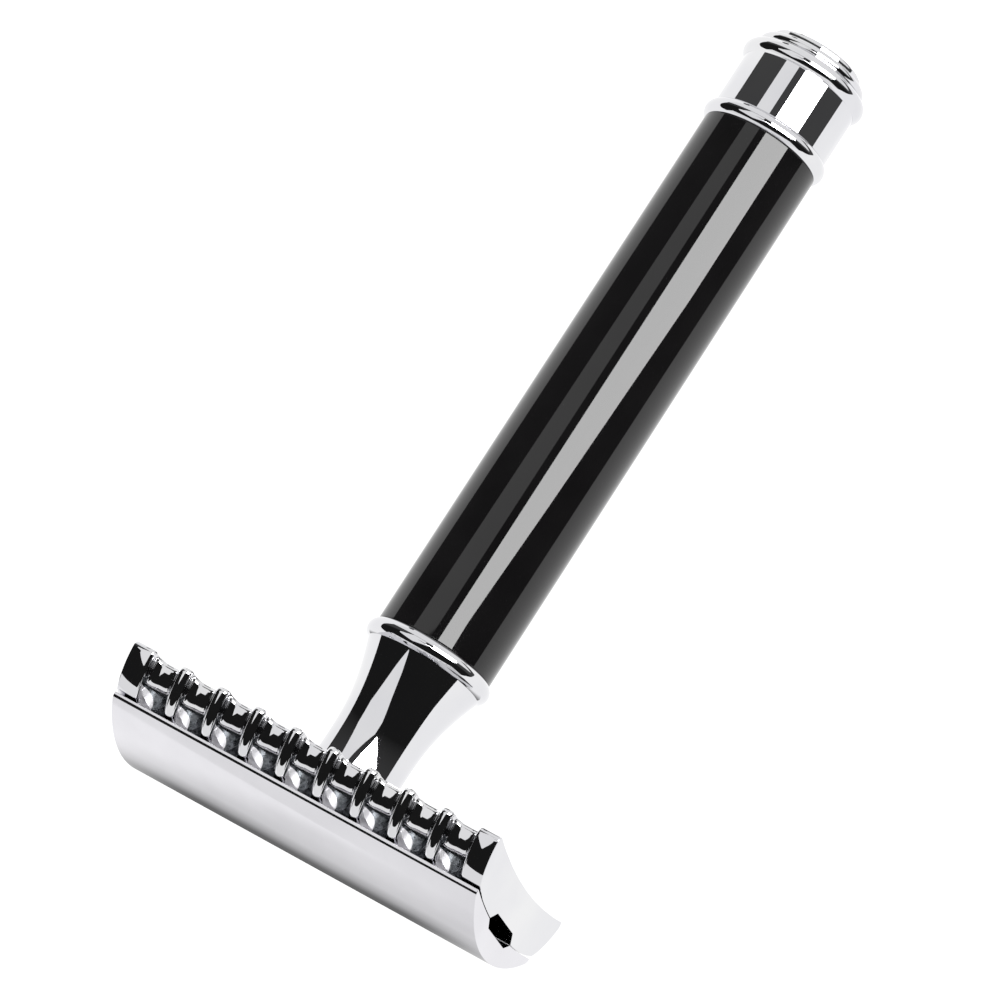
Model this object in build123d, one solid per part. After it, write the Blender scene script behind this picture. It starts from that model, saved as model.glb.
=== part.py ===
from build123d import *
import math
import os

# Three-piece safety razor with an open comb, standing on its knob, head up.
# Origin: centre of the knob's flat end. +Z runs up the handle, X along the head. Millimetres.

# Knob, from its end face upwards
end_face_radius = 5.0
end_face_height = 0.8
step_radius = 5.35
end_bead_radius = 5.95
end_bead_height = 1.15
bead_radius = 6.84
bead_height = 1.75
band_radius = 6.28
band_height = 5.7
spigot_length = 4.0

# Sleeve and what it covers
sleeve_radius = 6.3
sleeve_bore_radius = 4.6
sleeve_length = 60.5
sleeve_edge = 0.12
spigot_radius = 4.57
core_radius = 4.55
core_bore_radius = 2.2
rod_radius = 1.97
rod_thread_radius = 2.0
ring_wire_radius = 0.42
ring_groove_radius = 3.74

# Neck
collar_height = 1.9
neck_flare_radius = 6.25
neck_waist_radius = 4.44
neck_top_radius = 4.52
neck_length = 13.9
insert_radius = 3.3
insert_length = 8.0
insert_recess = 0.4
thread_pitch = 0.8
stud_radius = 2.44
stud_bore_radius = 2.5

# Head
head_length = 43.0
cap_width = 19.7
cap_crown_radius = 16.4
lip_height = 0.46
seat_radius = 50.0
seat_gap = 0.08
channel_width = 7.8
channel_floor_width = 5.7
cap_channel_depth = 0.7
comb_channel_depth = 0.9
comb_width = 24.1
comb_skirt_height = 2.98
comb_arch = 1.1
comb_centre_thickness = 4.78
corner_inset = 0.3
boss_radius = 4.75
boss_drop = 0.25
neck_gap = 0.02

# Comb
tooth_count = 8
tooth_pitch = 4.4
tooth_width = 1.4
slot_root_inset = 3.0
valley_inset = 1.5

# Pins that centre the blade, and the holes they pass through
pin_offset = 13.0
pin_radius = 1.5
pin_hole_radius = 1.6
pin_length = 4.9
stud_hole_radius = 2.53

# Heights worked out from the sizes above
end_bead_z = end_face_height
rear_bead_z = end_bead_z + end_bead_height
band_z = rear_bead_z + bead_height
front_bead_z = band_z + band_height
sleeve_z = front_bead_z + bead_height
collar_z = sleeve_z + sleeve_length
neck_z = collar_z + collar_height
neck_top_z = neck_z + neck_length
boss_z = neck_top_z + neck_gap
arch_z = boss_z + boss_drop
seat_z = arch_z + comb_centre_thickness + seat_gap
insert_top_z = neck_top_z - insert_recess
stud_tip_z = insert_top_z - insert_length + 1.6

slot_width = tooth_pitch - tooth_width
half_comb = comb_width / 2
half_cap = cap_width / 2


def seat_height(y, radius):
    """Height of the seating arc of this radius at a distance y from the middle plane."""
    return seat_z - seat_radius + math.sqrt(radius**2 - y**2)


def turn(outline):
    """Solid of revolution about Z from a closed outline in the XZ plane."""
    return revolve(make_face(outline), axis=Axis.Z)


def bead(base_radius, top_radius, z, height, crown_radius):
    """Rounded bead between two radii, as an arc of the outline."""
    middle = (crown_radius, 0, z + height / 2)
    return ThreePointArc((base_radius, 0, z), middle, (top_radius, 0, z + height))


def run(*points):
    """Straight outline through (radius, z) points."""
    return Polyline(*[(r, 0, z) for r, z in points])


def rod(radius, low, high, x=0):
    """Round bar along Z."""
    return Pos(x, 0, (low + high) / 2) * Cylinder(radius, high - low)


def ring_groove(z):
    """Square groove for a sealing ring, as a cutter."""
    width = 2.2 * ring_wire_radius
    return rod(spigot_radius + 1, z - width / 2, z + width / 2) - rod(ring_groove_radius, z - 1, z + 1)


def knob_piece():
    """End knob: flat foot, small end bead, lettering band left bare between two beads, spigot."""
    top = sleeve_z + spigot_length
    foot = run((0, 0), (end_face_radius - 0.3, 0), (end_face_radius, 0.3), (end_face_radius, end_bead_z))
    step = run((end_face_radius, end_bead_z), (step_radius, end_bead_z))
    end_bead = bead(step_radius, step_radius, end_bead_z, end_bead_height, end_bead_radius)
    rise = run((step_radius, rear_bead_z), (band_radius, rear_bead_z))
    rear = bead(band_radius, band_radius, rear_bead_z, bead_height, bead_radius)
    band = run((band_radius, band_z), (band_radius, front_bead_z))
    front = bead(band_radius, sleeve_radius, front_bead_z, bead_height, bead_radius)
    spigot = run((sleeve_radius, sleeve_z), (spigot_radius, sleeve_z), (spigot_radius, top), (0, top), (0, 0))
    solid = turn(foot + step + end_bead + rise + rear + band + front + spigot)
    solid -= rod(insert_radius, rear_bead_z, front_bead_z)
    solid -= rod(rod_thread_radius + 0.1, front_bead_z - 0.1, top + 1)
    return solid - ring_groove(sleeve_z + spigot_length / 2)


def knob_insert_piece():
    """Threaded bush moulded into the knob, which takes the tie rod."""
    bush = rod(insert_radius, rear_bead_z, front_bead_z)
    return bush - rod(rod_thread_radius, rear_bead_z + 1, front_bead_z + 1)


def sealing_ring_piece(z):
    """Rubber ring in a spigot groove that keeps water out of the sleeve."""
    centre = ring_groove_radius + ring_wire_radius + 0.01
    return Pos(0, 0, z) * Torus(centre, ring_wire_radius)


def sleeve_piece():
    """Polished resin tube that is the grip."""
    top = sleeve_z + sleeve_length
    tube = rod(sleeve_radius, sleeve_z, top)
    tube = chamfer(tube.edges().filter_by(GeomType.CIRCLE), sleeve_edge)
    return tube - rod(sleeve_bore_radius, sleeve_z - 1, top + 1)


def core_tube_piece():
    """Metal tube that backs the resin sleeve between the two spigots."""
    low = sleeve_z + spigot_length
    high = collar_z - spigot_length
    return rod(core_radius, low, high) - rod(core_bore_radius, low - 1, high + 1)


def tie_rod_piece():
    """Threaded rod that pulls the knob and the neck together on the sleeve."""
    return rod(rod_radius, rear_bead_z + 1.5, neck_z + 2.5)


def neck_piece():
    """Flared neck with its collar bead, lower spigot and bored top."""
    low = collar_z - spigot_length
    spigot = run((0, low), (spigot_radius, low), (spigot_radius, collar_z), (sleeve_radius, collar_z))
    collar = bead(sleeve_radius, neck_flare_radius, collar_z, collar_height, bead_radius + 0.02)
    flare = Spline(
        (neck_flare_radius, 0, neck_z),
        (5.3, 0, neck_z + 2.9),
        (4.68, 0, neck_z + 5.8),
        (neck_waist_radius, 0, neck_z + 9.0),
        (neck_top_radius, 0, neck_top_z - 0.2),
        tangents=[(-0.38, 0, 1), (0.035, 0, 1)],
    )
    top = run((neck_top_radius, neck_top_z - 0.2), (neck_top_radius - 0.2, neck_top_z), (0, neck_top_z), (0, low))
    solid = turn(spigot + collar + flare + top)
    solid -= rod(insert_radius, insert_top_z - insert_length, neck_top_z + 1)
    solid -= rod(rod_thread_radius, low - 1, neck_z + 3)
    return solid - ring_groove(collar_z - spigot_length / 2)


def neck_insert_piece():
    """Threaded bush in the neck, which takes the cap's stud."""
    low = insert_top_z - insert_length
    return rod(insert_radius, low, insert_top_z) - rod(stud_bore_radius, low + 0.6, insert_top_z + 1)


def along_head(outline, length=head_length):
    """Extrude a closed outline, drawn at X = 0 in the YZ plane, over the length of the head."""
    return Pos(-length / 2, 0, 0) * extrude(make_face(outline), amount=length, dir=(1, 0, 0))


def seat_arc(radius, y_from, y_to):
    """Part of the seating arc, at X = 0."""
    middle = (y_from + y_to) / 2
    ys = (y_from, middle, y_to)
    return ThreePointArc(*[(0, y, seat_height(y, radius)) for y in ys])


def cap_piece():
    """Domed top cap with a flat lip and a channel along its underside."""
    lip_low = seat_height(half_cap, seat_radius)
    lip_high = lip_low + lip_height
    crown = lip_high + cap_crown_radius - math.sqrt(cap_crown_radius**2 - half_cap**2)
    dome = ThreePointArc((0, -half_cap, lip_high), (0, 0, crown), (0, half_cap, lip_high))
    mouth = seat_height(channel_width / 2, seat_radius)
    floor = mouth + cap_channel_depth
    right = seat_arc(seat_radius, half_cap, channel_width / 2)
    channel = Polyline(
        (0, channel_width / 2, mouth),
        (0, channel_floor_width / 2, floor),
        (0, -channel_floor_width / 2, floor),
        (0, -channel_width / 2, mouth),
    )
    left = seat_arc(seat_radius, -channel_width / 2, -half_cap)
    near_lip = Line((0, -half_cap, lip_low), (0, -half_cap, lip_high))
    far_lip = Line((0, half_cap, lip_high), (0, half_cap, lip_low))
    return along_head(dome + far_lip + right + channel + left + near_lip)


def cap_channel_floor():
    """Height of the floor of the cap's channel, where the stud and the pins stand."""
    return seat_height(channel_width / 2, seat_radius) + cap_channel_depth


def cap_stud_piece():
    """Stud that screws into the neck."""
    return rod(stud_radius, stud_tip_z, cap_channel_floor())


def locating_pin_piece(side):
    """Pin that centres the blade and the comb plate under the cap."""
    top = cap_channel_floor()
    return rod(pin_radius, top - pin_length, top, side * pin_offset)


def comb_body():
    """Comb plate before its slots: seat on top, skirt outside, shallow arch underneath."""
    seat = seat_radius - seat_gap
    mouth = seat_height(channel_width / 2, seat)
    floor = mouth - comb_channel_depth
    seat_edge = 7.7
    skirt_low = arch_z - comb_arch
    outline = Polyline(
        (0, -channel_width / 2, mouth),
        (0, -channel_floor_width / 2, floor),
        (0, channel_floor_width / 2, floor),
        (0, channel_width / 2, mouth),
    )
    for side in (-1, 1):
        fall = (0, side * (half_comb - 1.95), arch_z + 3.48)
        cheek = (0, side * (half_comb - 1.28), arch_z + 2.68)
        skirt = (0, side * half_comb, skirt_low + 0.7)
        outline += seat_arc(seat, side * channel_width / 2, side * seat_edge)
        outline += ThreePointArc(
            (0, side * seat_edge, seat_height(seat_edge, seat)),
            (0, side * (half_comb - 3.05), arch_z + 3.82),
            fall,
        )
        outline += ThreePointArc(fall, (0, side * (half_comb - 1.62), arch_z + 3.12), cheek)
        outline += ThreePointArc(cheek, (0, side * (half_comb - 0.6), arch_z + 1.48), skirt)
        outline += ThreePointArc(
            skirt,
            (0, side * (half_comb - 0.04), skirt_low + 0.24),
            (0, side * (half_comb - corner_inset), skirt_low),
        )
    corner = (half_comb - corner_inset, skirt_low)
    outline += ThreePointArc((0, -corner[0], corner[1]), (0, 0, arch_z), (0, corner[0], corner[1]))
    return along_head(outline)


def slot_cutters():
    """Void of each comb slot, and the shallower valley above it, on both long sides."""
    ledge_z = arch_z - comb_arch + comb_skirt_height
    root = slot_width / 2
    cutters = []
    for side in (-1, 1):
        for index in range(tooth_count + 1):
            x = (index - tooth_count / 2) * tooth_pitch
            inner = side * (half_comb - slot_root_inset + root)
            outer = side * (half_comb + 1)
            middle = (inner + outer) / 2
            valley = side * (half_comb - valley_inset)
            slot = Pos(x, middle, ledge_z + 3) * Box(slot_width, abs(outer - inner), 6)
            slot += Pos(x, inner, ledge_z + 3) * Cylinder(root, 6)
            cutters.append(slot)
            depth = abs(outer - valley)
            cutters.append(Pos(x, (valley + outer) / 2, ledge_z) * Box(slot_width, depth, 12))
    return cutters


def comb_plate_piece():
    """Open-comb base plate with its boss for the neck and the holes for stud and pins."""
    plate = comb_body()
    plate += rod(boss_radius, boss_z, arch_z + 1)
    for cutter in slot_cutters():
        plate -= cutter
    plate -= rod(stud_hole_radius, boss_z - 5, seat_z + 5)
    for side in (-1, 1):
        plate -= rod(pin_hole_radius, boss_z - 5, seat_z + 5, side * pin_offset)
    return plate


pieces = {
    "knob": knob_piece(),
    "knob_insert": knob_insert_piece(),
    "knob_sealing_ring": sealing_ring_piece(sleeve_z + spigot_length / 2),
    "sleeve": sleeve_piece(),
    "core_tube": core_tube_piece(),
    "tie_rod": tie_rod_piece(),
    "neck_sealing_ring": sealing_ring_piece(collar_z - spigot_length / 2),
    "neck": neck_piece(),
    "neck_insert": neck_insert_piece(),
    "comb_plate": comb_plate_piece(),
    "cap": cap_piece(),
    "cap_stud": cap_stud_piece(),
    "locating_pin_left": locating_pin_piece(-1),
    "locating_pin_right": locating_pin_piece(1),
}

os.makedirs("parts", exist_ok=True)
for name, piece in pieces.items():
    export_step(piece, f"parts/{name}.step")

print("stand height", round(pieces["cap"].bounding_box().max.Z, 2), "mm; thread pitch", thread_pitch, "mm")
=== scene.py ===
import math

import bmesh
import bpy
import numpy as np
from mathutils import Matrix, Vector


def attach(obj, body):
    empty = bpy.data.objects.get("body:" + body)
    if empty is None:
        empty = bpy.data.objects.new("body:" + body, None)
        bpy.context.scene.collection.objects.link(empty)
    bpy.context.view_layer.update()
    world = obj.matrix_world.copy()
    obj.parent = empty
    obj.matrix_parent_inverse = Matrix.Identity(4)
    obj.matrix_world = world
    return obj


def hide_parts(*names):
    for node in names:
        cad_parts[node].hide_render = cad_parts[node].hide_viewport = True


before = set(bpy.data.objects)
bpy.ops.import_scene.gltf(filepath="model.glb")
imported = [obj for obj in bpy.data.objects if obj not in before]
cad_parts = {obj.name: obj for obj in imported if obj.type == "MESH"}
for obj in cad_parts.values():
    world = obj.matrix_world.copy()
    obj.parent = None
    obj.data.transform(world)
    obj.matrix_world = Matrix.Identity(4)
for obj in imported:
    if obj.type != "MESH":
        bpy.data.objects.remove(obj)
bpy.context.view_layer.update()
mm = 0.001
weldGap = 0.002 * mm  # points closer than this are one
roundShare = 0.29  # how far a quarter round's middle stays from its corner, as a share of the radius


def hexColour(text):
    # an sRGB hex value as linear RGBA
    channels = [int(text[i:i + 2], 16) / 255 for i in (1, 3, 5)]
    return [c / 12.92 if c <= 0.04045 else ((c + 0.055) / 1.055) ** 2.4 for c in channels] + [1.0]


def addNode(tree, kind, settings=None, inputs=None, stops=None):
    # one node with its settings, then a value or a link for each input
    node = tree.nodes.new(kind)
    for key, value in (settings or {}).items():
        setattr(node, key, value)
    for key, value in (inputs or {}).items():
        if isinstance(value, bpy.types.NodeSocket):
            tree.links.new(value, node.inputs[key])
        else:
            node.inputs[key].default_value = value
    for index, (place, colour) in enumerate(stops or []):
        points = node.color_ramp.elements
        point = points[index] if index < len(points) else points.new(place)
        point.position = place
        point.color = hexColour(colour)
    return node


def newMesh(name, points, faces, smoothAngle=40):
    # a mesh object at the origin, faces turned outwards, smooth except over sharp edges
    data = bpy.data.meshes.new(name)
    data.from_pydata(points, [], faces)
    shape = bmesh.new()
    shape.from_mesh(data)
    bmesh.ops.remove_doubles(shape, verts=shape.verts, dist=weldGap)
    bmesh.ops.recalc_face_normals(shape, faces=shape.faces)
    shape.to_mesh(data)
    shape.free()
    data.shade_smooth()
    data.set_sharp_from_angle(angle=math.radians(smoothAngle))
    made = bpy.data.objects.new(name, data)
    bpy.context.scene.collection.objects.link(made)
    return made


def applyModifiers(piece):
    # the evaluated shape as a plain mesh
    bpy.context.view_layer.update()
    graph = bpy.context.evaluated_depsgraph_get()
    baked = bpy.data.meshes.new_from_object(piece.evaluated_get(graph))
    piece.modifiers.clear()
    piece.data = baked
    return piece


def keepFlat(piece):
    # broad faces keep their own normals, and the narrow ones beside them take up the turn
    weights = piece.modifiers.new("weights", "WEIGHTED_NORMAL")
    weights.weight, weights.keep_sharp = 100, True
    return applyModifiers(piece)


def finishPiece(piece, material, body, slotName, *nodes):
    # material, body, slot (not used) and the CAD nodes that the piece stands for
    piece.data.materials.clear()
    piece.data.materials.append(material)
    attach(piece, body)
    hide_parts(*nodes)
    return piece


def arcThrough(first, middle, last, count):
    # points of the circular arc through three points
    ax, ay = first
    bx, by = middle
    cx, cy = last
    det = 2 * (ax * (by - cy) + bx * (cy - ay) + cx * (ay - by))
    aa, bb, cc = ax * ax + ay * ay, bx * bx + by * by, cx * cx + cy * cy
    ux = (aa * (by - cy) + bb * (cy - ay) + cc * (ay - by)) / det
    uy = (aa * (cx - bx) + bb * (ax - cx) + cc * (bx - ax)) / det
    start = math.atan2(ay - uy, ax - ux)
    through = math.atan2(by - uy, bx - ux)
    turnA = (through - start + math.pi) % (2 * math.pi) - math.pi
    turnB = (math.atan2(cy - uy, cx - ux) - through + math.pi) % (2 * math.pi) - math.pi
    radius = math.hypot(ax - ux, ay - uy)
    angles = [start + (turnA + turnB) * i / count for i in range(count + 1)]
    return [(ux + radius * math.cos(a), uy + radius * math.sin(a)) for a in angles]


def smoothLine(points, slopes, count):
    # cubic line through (height, radius) points with the slopes given at both ends
    heights = np.array([p[0] for p in points])
    radii = np.array([p[1] for p in points])
    steps = np.diff(heights)
    size = len(points)
    matrix, right = np.zeros((size, size)), np.zeros(size)
    matrix[0, 0] = matrix[-1, -1] = 1
    right[0], right[-1] = slopes
    for i in range(1, size - 1):
        matrix[i, i - 1:i + 2] = steps[i], 2 * (steps[i] + steps[i - 1]), steps[i - 1]
        before = steps[i] / steps[i - 1] * (radii[i] - radii[i - 1])
        after = steps[i - 1] / steps[i] * (radii[i + 1] - radii[i])
        right[i] = 3 * (before + after)
    slope = np.linalg.solve(matrix, right)
    line = []
    for height in np.linspace(heights[0], heights[-1], count + 1):
        i = min(max(np.searchsorted(heights, height) - 1, 0), size - 2)
        t, span = (height - heights[i]) / steps[i], steps[i]
        low = (1 + 2 * t) * (1 - t) ** 2 * radii[i] + t * (1 - t) ** 2 * span * slope[i]
        high = t * t * (3 - 2 * t) * radii[i + 1] + t * t * (t - 1) * span * slope[i + 1]
        line.append((float(low + high), float(height)))
    return line


def turnPiece(name, outline, segments=224, smoothAngle=35):
    # solid of revolution about Z from (radius, height) points in millimetres; ends on the axis are closed
    points, rings, faces = [], [], []
    for radius, height in outline:
        if radius < 1e-6:
            rings.append([len(points)])
            points.append((0, 0, height * mm))
        else:
            rings.append(list(range(len(points), len(points) + segments)))
            for i in range(segments):
                a = 2 * math.pi * i / segments
                points.append((radius * math.cos(a) * mm, radius * math.sin(a) * mm, height * mm))
    for low, high in zip(rings, rings[1:] + rings[:1]):
        for i in range(segments):
            j = (i + 1) % segments
            corners = [low[i % len(low)], low[j % len(low)], high[j % len(high)], high[i % len(high)]]
            corners = list(dict.fromkeys(corners))
            if len(corners) > 2:
                faces.append(corners)
    return keepFlat(newMesh(name, points, faces, smoothAngle))


noiseRange = (0.3, 0.7)  # nearly all of a noise's values lie in here

# surfaces: two colours over soft patches, a roughness range, and a fine grain that bends the light;
# patch, grain and depth are in mm, and stretch draws the grain out along the axis with the small number
chromeFinish = {"metallic": 1, "colours": ("#d4d4d8", "#dededf"), "patch": 9, "rough": (0.015, 0.035),
                "grain": 0.9, "stretch": (1, 1, 1), "depth": 0.0006}
capFinish = {"metallic": 1, "colours": ("#d6d5d9", "#dddce0"), "patch": 7, "rough": (0.05, 0.08),
             "grain": 0.5, "stretch": (1, 1, 1), "depth": 0.0008}
castFinish = {"metallic": 1, "colours": ("#3d4043", "#74777b"), "patch": 0.35, "rough": (0.22, 0.42),
              "grain": 0.2, "stretch": (1, 1, 1), "depth": 0.035}
# painted reflection: a pale, dull patch off to one side of each slot root stands in for the light it would
# mirror
paintedReflectionFinish = {"metallic": 1, "colours": ("#d9d8db", "#e2e1e4"), "patch": 2, "rough": (0.6, 0.64),
                "grain": 0.9, "stretch": (1, 1, 1), "depth": 0.0006}
resinFinish = {"metallic": 0, "colours": ("#131213", "#1a191a"), "patch": 5, "rough": (0.02, 0.05),
               "grain": 0.8, "stretch": (1, 1, 0.08), "depth": 0.0005}
studFinish = {"metallic": 1, "colours": ("#b9babd", "#cfd0d2"), "patch": 2, "rough": (0.14, 0.24),
              "grain": 0.12, "stretch": (0.2, 0.2, 1), "depth": 0.002}
rodFinish = {"metallic": 1, "colours": ("#a3a5a8", "#bcbec1"), "patch": 3, "rough": (0.2, 0.32),
             "grain": 0.1, "stretch": (1, 1, 0.05), "depth": 0.002}
aluminiumFinish = {"metallic": 1, "colours": ("#c5c7c9", "#d8d9da"), "patch": 4, "rough": (0.28, 0.4),
                   "grain": 0.15, "stretch": (1, 1, 0.04), "depth": 0.003}
brassFinish = {"metallic": 1, "colours": ("#c39a4e", "#d9b467"), "patch": 1.5, "rough": (0.16, 0.3),
               "grain": 0.1, "stretch": (0.1, 0.1, 1), "depth": 0.002}
rubberFinish = {"metallic": 0, "colours": ("#131313", "#1d1d1e"), "patch": 0.8, "rough": (0.6, 0.8),
                "grain": 0.1, "stretch": (1, 1, 1), "depth": 0.006}


def addSurface(tree, finish):
    # a shader from one finish
    place = addNode(tree, "ShaderNodeTexCoord").outputs["Object"]
    patches = addNode(tree, "ShaderNodeTexNoise", {}, {"Vector": place, "Scale": 1 / (finish["patch"] * mm),
                                                       "Detail": 3.0})
    tint = addNode(tree, "ShaderNodeValToRGB", {}, {"Fac": patches.outputs["Fac"]},
                   list(zip(noiseRange, finish["colours"])))
    rough = addNode(tree, "ShaderNodeMapRange", {}, {"Value": patches.outputs["Fac"],
                                                     "From Min": noiseRange[0], "From Max": noiseRange[1],
                                                     "To Min": finish["rough"][0],
                                                     "To Max": finish["rough"][1]})
    drawn = addNode(tree, "ShaderNodeMapping", {}, {"Vector": place, "Scale": finish["stretch"]})
    grain = addNode(tree, "ShaderNodeTexNoise", {}, {"Vector": drawn.outputs[0],
                                                     "Scale": 1 / (finish["grain"] * mm), "Detail": 4.0})
    relief = addNode(tree, "ShaderNodeBump", {}, {"Height": grain.outputs["Fac"], "Strength": 1.0,
                                                  "Distance": finish["depth"] * mm})
    return addNode(tree, "ShaderNodeBsdfPrincipled", {},
                   {"Base Color": tint.outputs["Color"], "Metallic": finish["metallic"],
                    "Roughness": rough.outputs["Result"], "Normal": relief.outputs["Normal"]})


def newMaterial(name, finish):
    material = bpy.data.materials.new(name)
    material.use_nodes = True
    material.node_tree.nodes.clear()
    shader = addSurface(material.node_tree, finish)
    addNode(material.node_tree, "ShaderNodeOutputMaterial", {}, {"Surface": shader.outputs[0]})
    return material


# polished chrome plate over brass: mirror reflections with a hint of waviness and hand haze
chromePlate = newMaterial("polishedChromePlate", chromeFinish)
# the cap's plate is polished by wheel: same colour, softer reflections
capPlate = newMaterial("wheelPolishedChromePlate", capFinish)
# cast resin, turned and polished: near black, wet gloss, faint lines along the grip
blackResin = newMaterial("polishedCastResin", resinFinish)
# plated but not polished: satin turning lines
studPlate = newMaterial("satinChromePlate", studFinish)
# bright steel rod, drawn through a die: long fine lines and a greyer shine
rodSteel = newMaterial("brightDrawnSteel", rodFinish)
# thin tube as it comes from the drawing bench: pale, dull, lined along its length
drawnAluminium = newMaterial("drawnAluminium", aluminiumFinish)
# free-cutting brass, turned and threaded: warm, with rings from the tool
turnedBrass = newMaterial("turnedBrass", brassFinish)
# moulded nitrile rubber: matt black with a slight bloom
blackRubber = newMaterial("nitrileRubber", rubberFinish)
print("materials made")


# knob, from the foot up: rim, end bead, rear bead, plain band, front bead, spigot (radius, height in mm)
knob = {"foot": 5.0, "footRim": 0.3, "footHeight": 0.8, "stepRadius": 5.35, "endBead": 5.95,
        "endBeadTop": 1.95, "bead": 6.84, "bandStart": 3.7, "band": 6.28, "bandEnd": 9.4, "top": 11.15,
        "sleeve": 6.3, "spigot": 4.57, "spigotTop": 15.15, "groove": 3.74, "grooveHalf": 0.46,
        "bore": 2.1, "bush": 3.3}


def beadArc(low, top, crown, base, upper, count=18):
    # rounded bead between two heights
    return arcThrough((base, low), (crown, (low + top) / 2), (upper, top), count)


def spigotGroove(middle, size):
    # square groove for the sealing ring
    low, high = middle - size["grooveHalf"], middle + size["grooveHalf"]
    return [(size["spigot"], low), (size["groove"], low), (size["groove"], high), (size["spigot"], high)]


def makeKnob(k):
    rim, near = k["footRim"], k["footRim"] * roundShare
    outline = [(0, 0), (k["foot"] - rim, 0)]
    outline += arcThrough((k["foot"] - rim, 0), (k["foot"] - near, near), (k["foot"], rim), 6)[1:]
    outline += [(k["foot"], k["footHeight"])]
    outline += beadArc(k["footHeight"], k["endBeadTop"], k["endBead"], k["stepRadius"], k["stepRadius"])
    outline += beadArc(k["endBeadTop"], k["bandStart"], k["bead"], k["band"], k["band"])
    outline += beadArc(k["bandEnd"], k["top"], k["bead"], k["band"], k["sleeve"])
    outline += [(k["spigot"], k["top"])]
    outline += spigotGroove((k["top"] + k["spigotTop"]) / 2, k)
    outline += [(k["spigot"], k["spigotTop"]), (k["bore"], k["spigotTop"]), (k["bore"], k["bandEnd"])]
    outline += [(k["bush"], k["bandEnd"]), (k["bush"], k["endBeadTop"]), (0, k["endBeadTop"])]
    return turnPiece("knobTurned", outline)


finishPiece(makeKnob(knob), chromePlate, "handle", "chrome", "knob")

# sleeve: a plain polished tube with its sharp ends just broken
sleeve = {"radius": 6.3, "bore": 4.6, "low": 11.15, "high": 71.65, "edge": 0.12}


def makeSleeve(s):
    radius, low, high = s["radius"], s["low"], s["high"]
    edge, near = s["edge"], s["edge"] * roundShare
    outline = [(s["bore"], low), (radius - edge, low), (radius - near, low + near), (radius, low + edge),
               (radius, high - edge), (radius - near, high - near), (radius - edge, high), (s["bore"], high)]
    return turnPiece("resinSleeve", outline)


finishPiece(makeSleeve(sleeve), blackResin, "handle", "resin", "sleeve")

# neck: spigot in the sleeve, collar bead, flare that runs in to a waist and opens a little under the head
neck = {"spigot": 4.57, "spigotLow": 67.65, "groove": 3.74, "grooveHalf": 0.46, "sleeve": 6.3,
        "collarLow": 71.65, "collarTop": 73.55, "collar": 6.88, "flareStart": 6.25, "flareSteps": 72,
        "flare": [(73.55, 6.25), (76.45, 5.3), (79.35, 4.68), (82.55, 4.44), (87.25, 4.52)],
        "flareSlopes": (-0.38, 0.035), "top": 87.45, "topRim": 0.2, "rodBore": 2.0, "rodTop": 76.55,
        "bush": 3.3, "bushLow": 79.05}


def makeNeck(n):
    outline = [(n["rodBore"], n["spigotLow"]), (n["spigot"], n["spigotLow"])]
    outline += spigotGroove((n["spigotLow"] + n["collarLow"]) / 2, n)
    outline += [(n["spigot"], n["collarLow"])]
    outline += beadArc(n["collarLow"], n["collarTop"], n["collar"], n["sleeve"], n["flareStart"])
    outline += smoothLine(n["flare"], n["flareSlopes"], n["flareSteps"])
    outline += [(n["flare"][-1][1] - n["topRim"], n["top"]), (n["bush"], n["top"])]
    outline += [(n["bush"], n["bushLow"]), (0, n["bushLow"]), (0, n["rodTop"]), (n["rodBore"], n["rodTop"])]
    return turnPiece("neckTurned", outline)


finishPiece(makeNeck(neck), chromePlate, "handle", "chrome", "neck")
print("handle turned")


# head: both parts share the seat arc, a cylinder of this radius along X
head = {"length": 43.0, "seatZ": 92.58, "seatRadius": 50.0, "gap": 0.08, "channel": 3.9,
        "channelFloor": 2.85, "capDepth": 0.7, "combDepth": 0.9}


def seatHeight(y, radius):
    return head["seatZ"] - head["seatRadius"] + math.sqrt(radius * radius - y * y)


# cap: domed top rolling over into the lip, hollow seat with the blade channel (mm)
cap = {"half": 9.85, "lipHigh": 92.06, "crown": 95.35, "lipRound": 0.76, "edge": 0.2, "edgeSteps": 4,
       "domePoints": 97, "rollPoints": 9, "seatPoints": 17}


def makeCap(c):
    mouth = seatHeight(head["channel"], head["seatRadius"])
    rise = c["crown"] - c["lipHigh"]
    dome, bend = (c["half"] ** 2 + rise ** 2) / (2 * rise), c["lipRound"]
    across, below = c["half"] - bend, c["crown"] - dome
    lip = below + math.sqrt((dome - bend) ** 2 - across ** 2)
    most = math.asin(across / (dome - bend))
    arc = np.linspace(-most, most, c["domePoints"])
    top = [(dome * math.sin(a), below + dome * math.cos(a)) for a in arc]
    arc = np.linspace(most, math.pi / 2, c["rollPoints"])[1:]
    roll = [(across + bend * math.sin(a), lip + bend * math.cos(a)) for a in arc]
    ys = np.linspace(c["half"], head["channel"], c["seatPoints"])
    under = [(y, seatHeight(y, head["seatRadius"])) for y in ys]
    under.append((head["channelFloor"], mouth + head["capDepth"]))
    outline = [(-y, z) for y, z in roll[::-1]] + top + roll + under + [(-y, z) for y, z in under[::-1]]
    end = head["length"] / 2
    points = [(x * mm, y * mm, z * mm) for x in (-end, end) for y, z in outline]
    size = len(outline)
    faces = [[i, (i + 1) % size, size + (i + 1) % size, size + i] for i in range(size)]
    faces += [list(range(size)), list(range(2 * size - 1, size - 1, -1))]
    made = newMesh("capShell", points, faces)
    # only the edges round both end faces are broken; the lip's lower corner stays crisp
    share = made.data.attributes.new("bevel_weight_edge", "FLOAT", "EDGE")
    for line in made.data.edges:
        if all(abs(made.data.vertices[v].co.x) > end * mm * 0.999 for v in line.vertices):
            line.use_edge_sharp = False
            share.data[line.index].value = 1
    edge = made.modifiers.new("edge", "BEVEL")
    edge.width, edge.segments, edge.limit_method = c["edge"] * mm, c["edgeSteps"], "WEIGHT"
    return keepFlat(applyModifiers(made))


finishPiece(makeCap(cap), capPlate, "cap", "chrome", "cap")
print("cap made")


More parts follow.
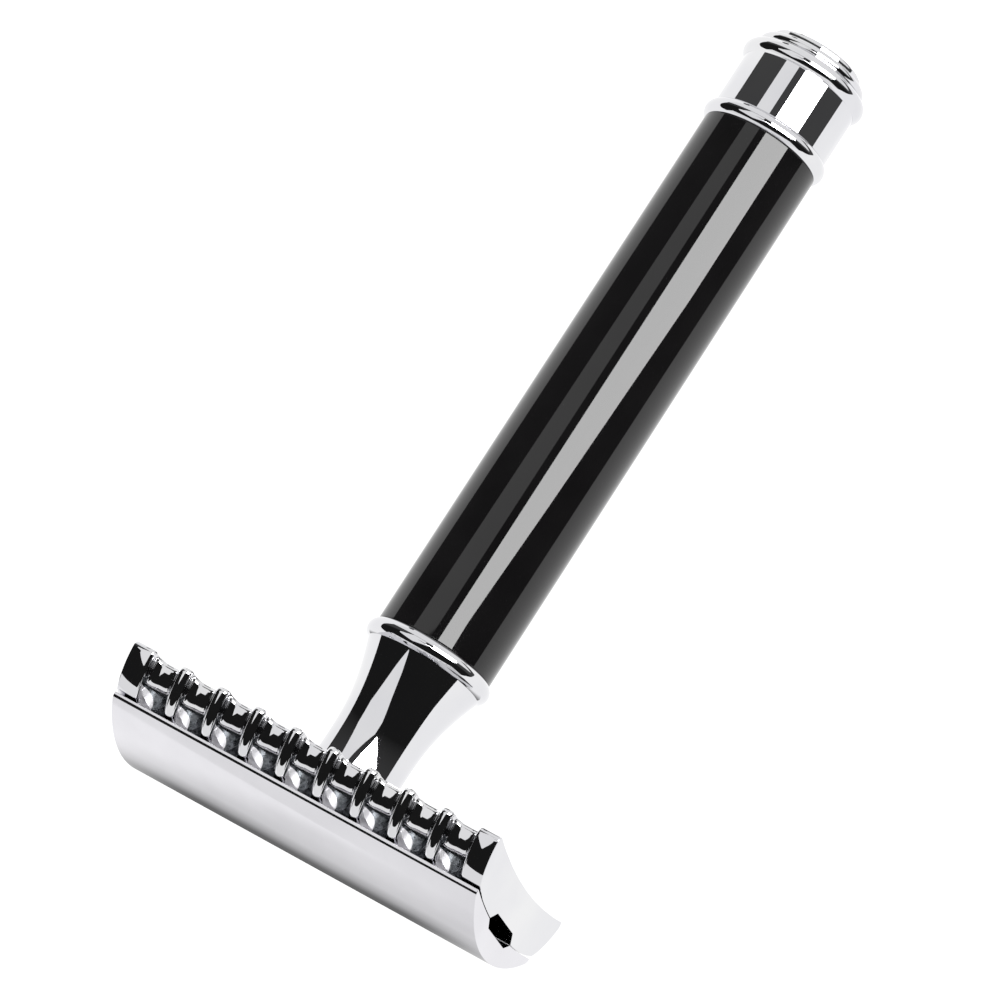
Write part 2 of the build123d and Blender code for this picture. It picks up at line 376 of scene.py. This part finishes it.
# comb plate: one tooth is lofted from slot centre to slot centre, and Geometry Nodes repeat it (mm)
comb = {"teeth": 8, "pitch": 4.4, "toothHalf": 0.7, "nose": 0.65, "flank": 0.5, "fillet": 1.0,
        "noseTurns": (0, 20, 40, 55, 70, 80, 90), "rootTurns": (90, 82, 72, 62, 52, 42, 31.5, 21, 10.5, 0),
        "root": 1.5, "rootLine": 10.55, "wallMost": 9.98, "lean": 0.18, "ledge": 89.6, "step": 0.1,
        "roll": 0.7, "rollIn": 0.6, "ledgeLeast": 0.04, "levelStart": 0.2, "levelOver": 1.3,
        "seatJoin": 7.0, "seatEdge": 7.7, "insetStart": 8.6, "insetFull": 9.8,
        "crest": (9.0, 91.57), "fall": (9.95, 91.3), "tip": (10.39, 90.88), "cheek": (10.77, 90.4),
        "face": (11.45, 89.2), "skirt": (12.05, 87.32), "foot": (12.01, 86.86), "corner": (11.75, 86.62),
        "arch": 87.72, "underJoin": (9.0, 6.0, 3.0, 0.0), "tab": 19.1, "tabEdge": 0.35, "endEdge": 0.12,
        "boss": 4.75, "bossLow": 87.47, "bossTop": 89.0, "studHole": 2.53, "pinHole": 1.6, "pinAt": 13.0,
        "holeLow": 80, "holeHigh": 100, "crease": 38}
head["combSeat"] = head["seatRadius"] - head["gap"]


def smoothStep(low, high, value):
    t = min(max((value - low) / (high - low), 0), 1)
    return t * t * (3 - 2 * t)


def underHeight(c, y):
    # shallow arch under the plate
    width, drop = c["corner"][0], c["arch"] - c["corner"][1]
    radius = (width * width + drop * drop) / (2 * drop)
    return c["arch"] - radius + math.sqrt(radius * radius - y * y)


def atHeights(arc, heights):
    ys, zs = [p[0] for p in arc][::-1], [p[1] for p in arc][::-1]
    return [(float(np.interp(z, zs, ys)), float(z)) for z in heights]


def faceArc(c):
    # hollow curve of the face from cheek to skirt, fine enough to read off at any height
    return arcThrough(c["cheek"], c["face"], c["skirt"], 200)


def combFace(c):
    # outer line of a tooth, from the seat over the nose and down the skirt, in parts of fixed length
    seat = [(y, seatHeight(y, head["combSeat"])) for y in np.linspace(c["seatJoin"], c["seatEdge"], 5)]
    top = seat + arcThrough(seat[-1], c["crest"], c["fall"], 12)[1:]
    long, ledge = faceArc(c), c["ledge"]
    nose = arcThrough(c["fall"], c["tip"], c["cheek"], 6)[1:]
    nose += atHeights(long, np.linspace(c["cheek"][1], ledge + c["step"], 7)[1:])
    step = atHeights(long, [ledge, ledge - c["step"]])
    skirt = atHeights(long, np.linspace(ledge - c["step"], c["skirt"][1], 11)[1:])
    skirt += arcThrough(c["skirt"], c["foot"], c["corner"], 6)[1:]
    return top, nose, step, skirt


def movedIn(c, parts, depth):
    # the line set in by depth: square to the nose, level on the skirt, not at all on the seat
    line = [p for part in parts for p in part]
    lift = underHeight(c, c["corner"][0] - depth) - c["corner"][1]
    foot = c["ledge"] - c["step"]
    moved = []
    for i, (y, z) in enumerate(line):
        (ya, za), (yb, zb) = line[max(i - 1, 0)], line[min(i + 1, len(line) - 1)]
        size = math.hypot(yb - ya, zb - za)
        level = min(max((c["cheek"][1] + c["levelStart"] - z) / c["levelOver"], 0), 1)
        share = depth * smoothStep(c["insetStart"], c["insetFull"], y)
        low = min(max((foot - z) / (foot - c["corner"][1]), 0), 1)
        moved.append((y + share * ((1 - level) * (zb - za) / size - level),
                      z - share * (1 - level) * (yb - ya) / size + lift * low))
    cuts = np.cumsum([len(part) for part in parts])
    return [moved[a:b] for a, b in zip([0] + list(cuts[:-1]), cuts)]


def slotEdge(c, depth, wall, foot):
    # the ledge at a slot's root, rolling over into the valley below it
    long, high, low = faceArc(c), c["ledge"], c["skirt"][1]
    back = min(c["rollIn"], atHeights(long, [high])[0][0] - depth - wall - c["ledgeLeast"])
    edge = []
    for a in np.radians((0, 18, 36, 54, 72, 90)):
        z = high - c["roll"] * (1 - math.cos(a))
        edge.append((atHeights(long, [z])[0][0] - depth - back * (1 - math.sin(a)), z))
    down = atHeights(long, np.linspace(high - c["roll"], low, 6)[1:])
    lift = underHeight(c, c["corner"][0] - depth) - c["corner"][1]
    down = [(y - depth, z + lift * (high - z) / (high - c["corner"][1])) for y, z in down]
    return [((wall + edge[0][0]) / 2, high), edge[0]], edge[1:] + down + foot


def combOutline(c, depth, wall=None):
    # closed (y, z) outline of the plate with its face set in by depth; wall is where a slot ends inside
    parts = combFace(c)
    top, nose, step, skirt = movedIn(c, parts, depth)
    if wall is not None:
        rim = [p for part in movedIn(c, parts, c["nose"])[:2] for p in part]
        ys = np.linspace(c["seatJoin"], wall, len(top))
        top = [(float(y), float(np.interp(y, [p[0] for p in rim], [p[1] for p in rim]))) for y in ys]
        step, skirt = slotEdge(c, depth, wall, skirt[-6:])
        zs = np.linspace(top[-1][1], c["ledge"], len(nose) + 1)
        nose = [(wall - c["lean"] * float((zs[0] - z) / (zs[0] - zs[-1])), float(z)) for z in zs[1:]]
    mouth = seatHeight(head["channel"], head["combSeat"])
    start = [(head["channelFloor"], mouth - head["combDepth"]), (head["channel"], mouth)]
    start += [(float(y), seatHeight(y, head["combSeat"]))
              for y in np.linspace(head["channel"], c["seatJoin"], 6)[1:-1]]
    ys = list(np.linspace(skirt[-1][0], c["underJoin"][0], 6)[1:]) + list(c["underJoin"][1:])
    oneSide = start + top + nose + step + skirt + [(float(y), underHeight(c, y)) for y in ys]
    return oneSide + [(-y, z) for y, z in oneSide[-2::-1]]


def slotStations(c):
    # from a tooth's flank to the middle of the slot: (distance from the tooth's centre, outline)
    bend, edge, made = c["fillet"], c["toothHalf"] + c["fillet"], []
    for a in np.radians(c["rootTurns"]):
        across = c["root"] * math.sin(a)
        u = c["pitch"] / 2 - across
        depth = c["flank"] + math.sqrt(max(bend ** 2 - max(edge - u, 0) ** 2, 0))
        wall = min(c["rootLine"] - math.sqrt(max(c["root"] ** 2 - across ** 2, 0)), c["wallMost"])
        made.append((u, combOutline(c, depth, wall)))
    return made


def loftStations(name, stations, closeEnd):
    # quads between neighbouring outlines
    points = [(x * mm, y * mm, z * mm) for x, outline in stations for y, z in outline]
    size, faces = len(stations[0][1]), []
    for s in range(len(stations) - 1):
        for i in range(size):
            j = (i + 1) % size
            faces.append([s * size + i, s * size + j, (s + 1) * size + j, (s + 1) * size + i])
    if closeEnd:
        faces.append(list(range((len(stations) - 1) * size, len(stations) * size)))
    data = bpy.data.meshes.new(name)
    data.from_pydata(points, [], faces)
    made = bpy.data.objects.new(name, data)
    bpy.context.scene.collection.objects.link(made)
    return made


def toothCell(c):
    # one tooth with its rounded nose, out to the middle of the slot on both sides
    bend, half = c["nose"], c["toothHalf"]
    side = [(half - bend + bend * math.sin(a), combOutline(c, bend - bend * math.cos(a)))
            for a in np.radians(c["noseTurns"])] + slotStations(c)
    return loftStations("combTooth", [(-x, line) for x, line in side[::-1]] + side, False)


def combEnd(c):
    # last half slot and the plain tab at one end
    edge, end, last = c["tabEdge"], c["endEdge"], head["length"] / 2
    stations = [(c["tab"] + c["toothHalf"] - u, line) for u, line in slotStations(c)[::-1]]
    for a in np.radians((0, 30, 60, 90)):
        stations.append((c["tab"] + edge - edge * math.cos(a), combOutline(c, edge - edge * math.sin(a))))
    stations.append((last - end, combOutline(c, 0)))
    for a in np.radians((45, 90)):
        stations.append((last - end + end * math.sin(a), combOutline(c, end - end * math.cos(a))))
    return loftStations("combEnd", stations, True)


def newTree(name, sockets):
    # Geometry Nodes group with named inputs; returns the tree, its input node and the sockets' identifiers
    tree = bpy.data.node_groups.new(name, "GeometryNodeTree")
    tree.interface.new_socket("Geometry", in_out="OUTPUT", socket_type="NodeSocketGeometry")
    keys = {}
    for label, kind in sockets.items():
        socket = tree.interface.new_socket(label, in_out="INPUT", socket_type="NodeSocket" + kind)
        keys[label] = socket.identifier
    return tree, tree.nodes.new("NodeGroupInput"), keys


def runTree(name, tree, keys, values):
    # the tree's result as a plain mesh object
    made = bpy.data.objects.new(name, bpy.data.meshes.new(name))
    bpy.context.scene.collection.objects.link(made)
    modifier = made.modifiers.new(name, "NODES")
    modifier.node_group = tree
    for label, value in values.items():
        modifier[keys[label]] = value
    return applyModifiers(made)


def combTree():
    # teeth in a row, both ends added, seams merged
    tree, given, keys = newTree("combRow", {"Tooth": "Object", "Ends": "Object", "Teeth": "Int",
                                            "Pitch": "Float", "Start": "Float", "Merge": "Float",
                                            "Material": "Material"})
    first = addNode(tree, "ShaderNodeCombineXYZ", {}, {"X": given.outputs["Start"]})
    pitch = addNode(tree, "ShaderNodeCombineXYZ", {}, {"X": given.outputs["Pitch"]})
    row = addNode(tree, "GeometryNodeMeshLine", {}, {"Count": given.outputs["Teeth"],
                                                     "Start Location": first.outputs[0],
                                                     "Offset": pitch.outputs[0]})
    tooth = addNode(tree, "GeometryNodeObjectInfo", {}, {"Object": given.outputs["Tooth"]})
    ends = addNode(tree, "GeometryNodeObjectInfo", {}, {"Object": given.outputs["Ends"]})
    teeth = addNode(tree, "GeometryNodeInstanceOnPoints", {}, {"Points": row.outputs[0],
                                                               "Instance": tooth.outputs["Geometry"]})
    both = addNode(tree, "GeometryNodeJoinGeometry")
    tree.links.new(ends.outputs["Geometry"], both.inputs[0])
    tree.links.new(teeth.outputs[0], both.inputs[0])
    real = addNode(tree, "GeometryNodeRealizeInstances", {}, {"Geometry": both.outputs[0]})
    merged = addNode(tree, "GeometryNodeMergeByDistance", {}, {"Geometry": real.outputs[0],
                                                               "Distance": given.outputs["Merge"]})
    coated = addNode(tree, "GeometryNodeSetMaterial", {}, {"Geometry": merged.outputs[0],
                                                           "Material": given.outputs["Material"]})
    tree.links.new(coated.outputs[0], tree.nodes.new("NodeGroupOutput").inputs[0])
    return tree, keys


def makeBar(name, radius, low, high, x=0.0, segments=96):
    # round bar for joinShape; its own corner normals would spoil those of the shape it joins
    made = turnPiece(name, [(0, low), (radius, low), (radius, high), (0, high)], segments)
    made.data.attributes.remove(made.data.attributes["custom_normal"])
    made.data.transform(Matrix.Translation((x * mm, 0, 0)))
    return made


def joinShape(piece, other, operation):
    # adds or cuts the other shape, which is used up
    step = piece.modifiers.new(operation, "BOOLEAN")
    step.operation, step.solver, step.object = operation, "EXACT", other
    applyModifiers(piece)
    bpy.data.objects.remove(other)


def makeComb(c, material):
    # teeth in a row, the boss over the neck, the holes for stud and pins
    tooth, end = toothCell(c), combEnd(c)
    other = end.data.copy()
    other.transform(Matrix.Scale(-1, 4, (1, 0, 0)))
    shape = bmesh.new()
    shape.from_mesh(end.data)
    shape.from_mesh(other)
    shape.to_mesh(end.data)
    shape.free()
    tree, keys = combTree()
    values = {"Tooth": tooth, "Ends": end, "Teeth": c["teeth"], "Pitch": c["pitch"] * mm,
              "Start": -(c["teeth"] - 1) / 2 * c["pitch"] * mm, "Merge": weldGap, "Material": material}
    made = runTree("combCast", tree, keys, values)
    bpy.data.objects.remove(tooth)
    bpy.data.objects.remove(end)
    shape = bmesh.new()
    shape.from_mesh(made.data)
    bmesh.ops.recalc_face_normals(shape, faces=shape.faces)
    bmesh.ops.triangulate(shape, faces=[f for f in shape.faces if len(f.verts) > 4])
    shape.to_mesh(made.data)
    shape.free()
    joinShape(made, makeBar("combBoss", c["boss"], c["bossLow"], c["bossTop"]), "UNION")
    joinShape(made, makeBar("studHole", c["studHole"], c["holeLow"], c["holeHigh"]), "DIFFERENCE")
    for x in (-c["pinAt"], c["pinAt"]):
        joinShape(made, makeBar("pinHole", c["pinHole"], c["holeLow"], c["holeHigh"], x), "DIFFERENCE")
    shape = bmesh.new()
    shape.from_mesh(made.data)
    bmesh.ops.dissolve_degenerate(shape, edges=shape.edges, dist=weldGap)
    shape.to_mesh(made.data)
    shape.free()
    made.data.shade_smooth()
    made.data.set_sharp_from_angle(angle=math.radians(c["crease"]))
    for face in made.data.polygons:
        face.use_smooth = abs(face.normal.x) < 0.999  # end faces stay flat
    return keepFlat(made)


# polished and plated outside; inside the slots the casting stays as it came from the mould, grey and
# pitted, and a pale patch on each root is a painted reflection of the light the polished root would mirror
combPlate = newMaterial("polishedComb", chromeFinish)
slots = {"reflectionHalf": 1.45, "reflectionHeight": 1.5, "reflectionMiddle": 91.4, "reflectionSide": 1.5, "edge": 0.02}


def addCastSlots(material, c, s):
    # slots by place: x from the nearest tooth, above the ledge, outside the roots and between the tabs
    tree = material.node_tree
    end = next(n for n in tree.nodes if n.type == "OUTPUT_MATERIAL")
    plate = end.inputs["Surface"].links[0].from_socket
    place = addNode(tree, "ShaderNodeTexCoord").outputs["Object"]
    split = addNode(tree, "ShaderNodeSeparateXYZ", {}, {"Vector": place})
    half, edge = c["pitch"] / 2 * mm, s["edge"] * mm
    inside = (c["rootLine"] - c["root"] - c["lean"]) * mm - edge
    sums = {"x": split.outputs["X"], "y": split.outputs["Y"], "z": split.outputs["Z"]}
    for name, operation, *values in [
            ("fromSlot", "PINGPONG", "x", half), ("side", "WRAP", "x", half, -half),
            ("inSlot", "LESS_THAN", "fromSlot", half - c["toothHalf"] * mm + edge / 2),
            ("above", "GREATER_THAN", "z", c["ledge"] * mm - edge),
            ("fromMiddle", "ABSOLUTE", "x"), ("inner", "LESS_THAN", "fromMiddle", c["tab"] * mm + edge / 2),
            ("fromSeat", "ABSOLUTE", "y"), ("outer", "GREATER_THAN", "fromSeat", inside),
            ("offside", "SUBTRACT", "side", s["reflectionSide"] * mm),
            ("across", "DIVIDE", "offside", s["reflectionHalf"] * mm), ("wide", "POWER", "across", 2.0),
            ("down", "SUBTRACT", s["reflectionMiddle"] * mm, "z"), ("up", "DIVIDE", "down", s["reflectionHeight"] * mm),
            ("tall", "POWER", "up", 2.0), ("round", "ADD", "wide", "tall"),
            ("plain", "GREATER_THAN", "round", 1.0), ("low", "MULTIPLY", "inSlot", "above"),
            ("near", "MULTIPLY", "inner", "outer"), ("share", "MULTIPLY", "low", "near")]:
        inputs = {i: sums[v] if isinstance(v, str) else v for i, v in enumerate(values)}
        sums[name] = addNode(tree, "ShaderNodeMath", {"operation": operation}, inputs).outputs[0]
    # inside the oval off to one side of each root goes the painted reflection, a pale patch; outside it the
    # root stays cast
    cast, paintedReflection = addSurface(tree, castFinish), addSurface(tree, paintedReflectionFinish)
    root = addNode(tree, "ShaderNodeMixShader", {}, {0: sums["plain"], 1: paintedReflection.outputs[0],
                                                     2: cast.outputs[0]})
    mixed = addNode(tree, "ShaderNodeMixShader", {}, {0: sums["share"], 1: plate, 2: root.outputs[0]})
    tree.links.new(mixed.outputs[0], end.inputs["Surface"])


addCastSlots(combPlate, comb, slots)
finishPiece(makeComb(comb, combPlate), combPlate, "comb", "comb_chrome", "comb_plate")
print("comb made")


# stud: standard M5 thread, cut from a plain blank by moving its surface in along a helix (mm)
stud = {"radius": 2.44, "depth": 0.42, "pitch": 0.8, "low": 80.65, "high": 93.13, "lead": 0.6, "tip": 1.9,
        "rings": 120, "segments": 64, "crease": 28}


def threadTree():
    # radius drops by Depth between the turns; the helix runs out over Lead at both ends
    names = ("Radius", "Depth", "Pitch", "Low", "High", "Lead")
    tree, given, keys = newTree("threadCut", {"Blank": "Object", **{name: "Float" for name in names},
                                              "Material": "Material"})
    blank = addNode(tree, "GeometryNodeObjectInfo", {}, {"Object": given.outputs["Blank"]})
    place = addNode(tree, "GeometryNodeInputPosition").outputs[0]
    split = addNode(tree, "ShaderNodeSeparateXYZ", {}, {"Vector": place})
    sums = {name: given.outputs[name] for name in names}
    sums.update({"x": split.outputs["X"], "y": split.outputs["Y"], "z": split.outputs["Z"]})
    for name, operation, *values in [
            ("angle", "ARCTAN2", "y", "x"), ("part", "DIVIDE", "angle", 2 * math.pi),
            ("height", "DIVIDE", "z", "Pitch"), ("turns", "SUBTRACT", "height", "part"),
            ("groove", "PINGPONG", "turns", 0.5), ("twice", "MULTIPLY", "groove", 2.0),
            ("above", "SUBTRACT", "z", "Low"), ("start", "DIVIDE", "above", "Lead"),
            ("below", "SUBTRACT", "High", "z"), ("finish", "DIVIDE", "below", "Lead"),
            ("nearest", "MINIMUM", "start", "finish"), ("most", "MINIMUM", "nearest", 1.0),
            ("ends", "MAXIMUM", "most", 0.0), ("deep", "MULTIPLY", "ends", "Depth"),
            ("cut", "MULTIPLY", "twice", "deep"), ("left", "SUBTRACT", "Radius", "cut"),
            ("scale", "DIVIDE", "left", "Radius"), ("newX", "MULTIPLY", "x", "scale"),
            ("newY", "MULTIPLY", "y", "scale")]:
        inputs = {i: sums[v] if isinstance(v, str) else v for i, v in enumerate(values)}
        sums[name] = addNode(tree, "ShaderNodeMath", {"operation": operation}, inputs).outputs[0]
    moved = addNode(tree, "ShaderNodeCombineXYZ", {}, {"X": sums["newX"], "Y": sums["newY"], "Z": sums["z"]})
    shaped = addNode(tree, "GeometryNodeSetPosition", {}, {"Geometry": blank.outputs["Geometry"],
                                                           "Position": moved.outputs[0]})
    real = addNode(tree, "GeometryNodeRealizeInstances", {}, {"Geometry": shaped.outputs[0]})
    coated = addNode(tree, "GeometryNodeSetMaterial", {}, {"Geometry": real.outputs[0],
                                                           "Material": given.outputs["Material"]})
    tree.links.new(coated.outputs[0], tree.nodes.new("NodeGroupOutput").inputs[0])
    return tree, keys


def makeStud(s, material):
    heights = np.linspace(s["low"] + s["radius"] - s["tip"], s["high"], s["rings"])
    outline = [(0, s["low"]), (s["tip"], s["low"])] + [(s["radius"], float(z)) for z in heights]
    outline.append((0, s["high"]))
    blank = turnPiece("studBlank", outline, s["segments"])
    tree, keys = threadTree()
    values = {"Blank": blank, "Radius": s["radius"] * mm, "Depth": s["depth"] * mm, "Pitch": s["pitch"] * mm,
              "Low": s["low"] * mm, "High": s["high"] * mm, "Lead": s["lead"] * mm, "Material": material}
    made = runTree("studThreaded", tree, keys, values)
    bpy.data.objects.remove(blank)
    made.data.shade_smooth()
    made.data.set_sharp_from_angle(angle=math.radians(s["crease"]))
    return made


finishPiece(makeStud(stud, studPlate), studPlate, "cap", "stud_metal", "cap_stud")

# pins that centre the blade: plain, with a rounded tip
pin = {"radius": 1.5, "low": 88.2, "high": 93.1, "round": 0.45, "apart": 13.0, "segments": 72}


def makePin(name, p, x):
    radius, low, bend = p["radius"], p["low"], p["round"]
    near = bend * roundShare
    outline = [(0, low), (radius - bend, low)]
    outline += arcThrough((radius - bend, low), (radius - near, low + near), (radius, low + bend), 8)[1:]
    made = turnPiece(name, outline + [(radius, p["high"]), (0, p["high"])], p["segments"])
    made.data.transform(Matrix.Translation((x * mm, 0, 0)))
    return made


finishPiece(makePin("pinLeft", pin, -pin["apart"]), studPlate, "cap", "stud_metal", "locating_pin_left")
finishPiece(makePin("pinRight", pin, pin["apart"]), studPlate, "cap", "stud_metal", "locating_pin_right")
print("stud and pins made")


# hidden parts keep their CAD shape and get the surface of what they are
carried = {"knob_insert": turnedBrass, "neck_insert": turnedBrass, "knob_sealing_ring": blackRubber,
           "neck_sealing_ring": blackRubber, "core_tube": drawnAluminium, "tie_rod": rodSteel}
for nodeName, material in carried.items():
    part = bpy.data.objects[nodeName]
    for socket in part.material_slots:
        socket.material = material
print("hidden parts finished")


# studio: white floor, white surround for the lens, and a ring of cards that only the gloss sees.
# each card is part of a cylinder about Z; rows give (height mm, left azimuth, right azimuth) in degrees
cards = {
    "backWall": {"radius": 300, "light": 1.15, "rows": [
        (-450, 343, 508), (-168, 343, 510), (-86, 343, 520), (-45, 347, 524), (8, 352, 528), (150, 357, 538),
        (360, 357, 540), (600, 357, 540)]},
    "softBox": {"radius": 220, "light": 11.0, "rows": [
        (-105, 203, 252), (-30, 203, 251), (-24, 205, 251), (5, 215, 251), (25, 224, 251), (31, 222, 251),
        (34, 206, 266), (38, 210, 262), (46, 232, 255), (55, 249, 251)]},
    "reflector": {"radius": 300, "light": 1.0, "rows": [
        (-108, 265, 291), (-80, 265, 292), (-30, 265, 297), (12, 265, 302), (17, 280, 303), (24, 274, 306),
        (47, 258, 312), (70, 258, 312), (92, 262, 312), (137, 270, 305), (184, 278, 297), (224, 287, 289)]},
    "lowSheet": {"radius": 310, "light": 1.0, "rows": [(-600, 166, 345), (-130, 166, 345)]},
}
ceiling = {"height": 600, "front": -330, "back": 900, "half": 700, "light": 1.0}
lowFloor = {"height": -600, "half": 310, "light": 1.0}
# painted shadow close behind the head (mm): a dark sheet whose light by height stands in for the head's own
# shade on a table behind it, and brighter past both ends of the head
headShade = {"y": 30, "low": 84, "high": 190, "left": -70, "right": 120, "middle": 14, "plain": 12,
             "fade": 24, "open": 1.15,
             "steps": [(92, 0.13), (102, 0.17), (106, 0.3), (111, 0.52), (121, 0.8), (141, 0.92),
                       (186, 1.0)]}
# strengths to the lens, to matt surfaces and to the gloss, which sees a little more light from below
surround = {"white": 1.0, "soft": 0.62, "dark": 0.012, "low": 0.065, "lowEnd": -0.26, "lowStart": -0.09}
floorPlan = {"half": 12000, "albedo": "#e8e8e8", "glow": 0.62}


def glowMaterial(name, strength):
    material = bpy.data.materials.new(name)
    material.use_nodes = True
    material.node_tree.nodes.clear()
    lamp = addNode(material.node_tree, "ShaderNodeEmission", {}, {"Color": hexColour("#ffffff"),
                                                                  "Strength": strength})
    addNode(material.node_tree, "ShaderNodeOutputMaterial", {}, {"Surface": lamp.outputs[0]})
    return material


def standCard(card, material):
    # seen by reflections only: hidden from the lens, no shadow, no bounce light
    card.data.materials.append(material)
    card.visible_camera = card.visible_diffuse = card.visible_shadow = False
    card.visible_transmission = card.visible_volume_scatter = False
    return card


def curvedCard(name, card, columns=32):
    points, faces = [], []
    radius = card["radius"]
    for height, left, right in card["rows"]:
        for column in range(columns + 1):
            a = math.radians(left + (right - left) * column / columns)
            points.append((radius * math.cos(a) * mm, radius * math.sin(a) * mm, height * mm))
    for row in range(len(card["rows"]) - 1):
        for column in range(columns):
            first = row * (columns + 1) + column
            faces.append([first, first + 1, first + columns + 2, first + columns + 1])
    return standCard(newMesh(name, points, faces), glowMaterial(name + "Light", card["light"]))


def flatCard(name, corners, material):
    return standCard(newMesh(name, [[c * mm for c in p] for p in corners], [[0, 1, 2, 3]]), material)


def shadeMaterial(s):
    # light from height, opened towards both ends
    material = bpy.data.materials.new("headShadeLight")
    material.use_nodes = True
    tree = material.node_tree
    tree.nodes.clear()
    place = addNode(tree, "ShaderNodeTexCoord").outputs["Object"]
    split = addNode(tree, "ShaderNodeSeparateXYZ", {}, {"Vector": place})
    scaled = addNode(tree, "ShaderNodeMapRange", {}, {"Value": split.outputs["Z"], "From Min": s["low"] * mm,
                                                      "From Max": s["high"] * mm})
    curve = addNode(tree, "ShaderNodeFloatCurve", {}, {"Value": scaled.outputs["Result"]})
    line = curve.mapping.curves[0]
    for height, light in s["steps"]:
        line.points.new((height - s["low"]) / (s["high"] - s["low"]), light)
    line.points[0].location = (0, s["steps"][0][1])
    line.points[len(line.points) - 1].location = (1, s["steps"][-1][1])
    for point in line.points:
        point.handle_type = "VECTOR"
    curve.mapping.update()
    across = addNode(tree, "ShaderNodeMath", {"operation": "SUBTRACT"}, {0: split.outputs["X"],
                                                                         1: s["middle"] * mm})
    width = addNode(tree, "ShaderNodeMath", {"operation": "ABSOLUTE"}, {0: across.outputs[0]})
    opened = addNode(tree, "ShaderNodeMapRange", {"interpolation_type": "SMOOTHSTEP"},
                     {"Value": width.outputs[0], "From Min": s["plain"] * mm,
                      "From Max": (s["plain"] + s["fade"]) * mm})
    light = addNode(tree, "ShaderNodeMix", {}, {0: opened.outputs["Result"], 2: curve.outputs[0],
                                                3: s["open"]})
    lamp = addNode(tree, "ShaderNodeEmission", {}, {"Strength": light.outputs[0]})
    addNode(tree, "ShaderNodeOutputMaterial", {}, {"Surface": lamp.outputs[0]})
    return material


def makeCards(over, under, shade):
    for name, card in cards.items():
        curvedCard(name, card)
    half, front, back, high = over["half"], over["front"], over["back"], over["height"]
    flatCard("ceiling", [(-half, front, high), (half, front, high), (half, back, high), (-half, back, high)],
             glowMaterial("ceilingLight", over["light"]))
    half, low = under["half"], under["height"]
    flatCard("lowFloor", [(-half, -half, low), (half, -half, low), (half, half, low), (-half, half, low)],
             glowMaterial("lowFloorLight", under["light"]))
    left, right, y, low, high = shade["left"], shade["right"], shade["y"], shade["low"], shade["high"]
    flatCard("headShade", [(left, y, low), (right, y, low), (right, y, high), (left, y, high)],
             shadeMaterial(shade))


def makeFloor(plan):
    # white to the lens; the soft part of its light is what the shadow takes away
    half = plan["half"] * mm
    made = newMesh("studioFloor", [(-half, -half, 0), (half, -half, 0), (half, half, 0), (-half, half, 0)],
                   [[0, 1, 2, 3]])
    material = bpy.data.materials.new("mattPaperFloor")
    material.use_nodes = True
    tree = material.node_tree
    tree.nodes.clear()
    paper = addNode(tree, "ShaderNodeBsdfDiffuse", {}, {"Color": hexColour(plan["albedo"])})
    path = addNode(tree, "ShaderNodeLightPath")
    seen = addNode(tree, "ShaderNodeMath", {"operation": "MULTIPLY"}, {0: path.outputs["Is Camera Ray"],
                                                                       1: plan["glow"]})
    glow = addNode(tree, "ShaderNodeEmission", {}, {"Strength": seen.outputs[0]})
    both = addNode(tree, "ShaderNodeAddShader", {}, {0: paper.outputs[0], 1: glow.outputs[0]})
    addNode(tree, "ShaderNodeOutputMaterial", {}, {"Surface": both.outputs[0]})
    made.data.materials.append(material)
    made.visible_glossy = made.visible_shadow = False


def makeWorld(w):
    # white to the lens, soft for matt surfaces, and nearly dark between the cards for the gloss
    world = bpy.data.worlds.new("studioWorld")
    bpy.context.scene.world = world
    world.use_nodes = True
    tree = world.node_tree
    tree.nodes.clear()
    path = addNode(tree, "ShaderNodeLightPath")
    way = addNode(tree, "ShaderNodeTexCoord").outputs["Generated"]
    split = addNode(tree, "ShaderNodeSeparateXYZ", {}, {"Vector": way})
    low = addNode(tree, "ShaderNodeMapRange", {}, {"Value": split.outputs["Z"], "From Min": w["lowEnd"],
                                                   "From Max": w["lowStart"], "To Min": w["low"],
                                                   "To Max": w["dark"]})
    matt = addNode(tree, "ShaderNodeMix", {}, {0: path.outputs["Is Glossy Ray"], 2: w["soft"],
                                               3: low.outputs["Result"]})
    light = addNode(tree, "ShaderNodeMix", {}, {0: path.outputs["Is Camera Ray"], 2: matt.outputs[0],
                                                3: w["white"]})
    sky = addNode(tree, "ShaderNodeBackground", {}, {"Color": hexColour("#ffffff"),
                                                     "Strength": light.outputs[0]})
    addNode(tree, "ShaderNodeOutputWorld", {}, {"Surface": sky.outputs[0]})


makeCards(ceiling, lowFloor, headShade)
makeFloor(floorPlan)
makeWorld(surround)

# long lens, off the near end of the head and a little above it, turned so that the handle runs up the frame
view = {"place": (-232.03, -506.98, 181.73), "right": (-0.81203, 0.24378, -0.53028),
        "up": (0.41528, -0.39706, -0.81847), "forward": (0.41007, 0.88483, -0.22118), "lens": 211.68,
        "sensor": 36, "near": 0.01, "far": 100}


def makeCamera(v):
    data = bpy.data.cameras.new("studioCamera")
    data.lens, data.sensor_width = v["lens"], v["sensor"]
    data.clip_start, data.clip_end = v["near"], v["far"]
    made = bpy.data.objects.new("studioCamera", data)
    bpy.context.scene.collection.objects.link(made)
    turn = Matrix((v["right"], v["up"], [-c for c in v["forward"]])).transposed().to_4x4()
    made.matrix_world = Matrix.Translation(Vector(v["place"]) * mm) @ turn
    bpy.context.scene.camera = made


makeCamera(view)
bpy.context.scene.view_settings.view_transform = "Standard"
print("studio built")
